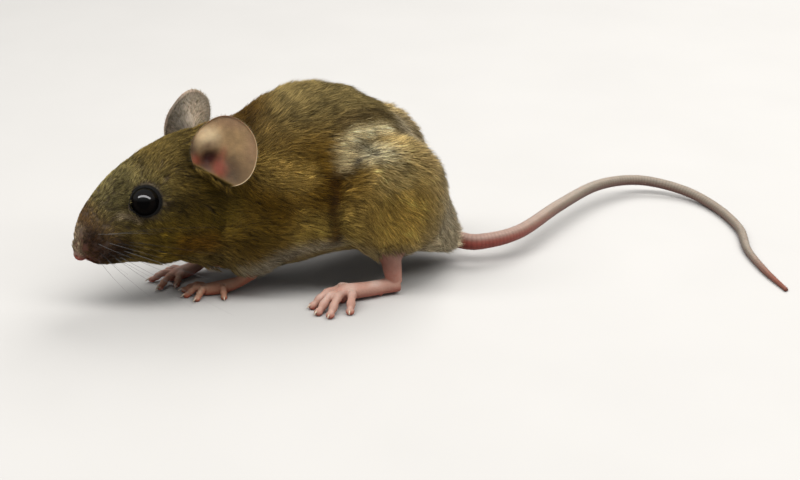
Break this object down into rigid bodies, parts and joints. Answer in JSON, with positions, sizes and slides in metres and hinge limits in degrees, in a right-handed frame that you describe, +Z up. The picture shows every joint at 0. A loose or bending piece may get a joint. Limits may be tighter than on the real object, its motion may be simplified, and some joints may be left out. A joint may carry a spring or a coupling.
{
  "type": "field mouse",
  "caption": "Life-size still model of a young field mouse crouched on all fours, head turned a little to its left, with a long, nearly bare tail trailing behind it in a curve.",
  "frame": {"origin": "middle of the base of the model's bounding box, on the level floor that the feet stand on", "axes": "-X is the way the mouse's body points, +X is towards the tail, +Y is the mouse's right side, +Z is up"},
  "size_m": [0.1342, 0.0522, 0.038],
  "materials": {
    "coat": "short soft fur, olive grey-brown above, ochre on the sides, whitish grey below",
    "ear_skin": "thin, finely haired skin, soft sheen",
    "foot_skin": "pink skin with fine scaly folds",
    "nose_skin": "moist, finely grained skin",
    "tail_skin": "skin in narrow rings of scales, pink below, grey-brown above",
    "eye": "wet, nearly black, glossy",
    "claw": "pale horn"
  },
  "bodies": {
    "root": {"head": "coat", "neck": "coat", "trunk": "coat", "shoulder_l": "coat", "shoulder_r": "coat", "thigh_l": "coat", "thigh_r": "coat", "hind_foot_l": "foot_skin", "hind_foot_r": "foot_skin", "fore_foot_l": "foot_skin", "fore_foot_r": "foot_skin", "shank_l": "foot_skin", "shank_r": "foot_skin", "forearm_l": "foot_skin", "forearm_r": "foot_skin", "ear_l": "ear_skin", "ear_r": "ear_skin", "eye_l": "eye", "eye_r": "eye", "nose": "nose_skin", "tail_1": "tail_skin", "tail_2": "tail_skin", "tail_3": "tail_skin", "tail_4": "tail_skin", "tail_5": "tail_skin", "hind_claw_l_1": "claw", "hind_claw_l_2": "claw", "hind_claw_l_3": "claw", "hind_claw_l_4": "claw", "hind_claw_l_5": "claw", "hind_claw_r_1": "claw", "hind_claw_r_2": "claw", "hind_claw_r_3": "claw", "hind_claw_r_4": "claw", "hind_claw_r_5": "claw", "fore_claw_l_1": "claw", "fore_claw_l_2": "claw", "fore_claw_l_3": "claw", "fore_claw_l_4": "claw", "fore_claw_r_1": "claw", "fore_claw_r_2": "claw", "fore_claw_r_3": "claw", "fore_claw_r_4": "claw"}
  },
  "joints": []
}
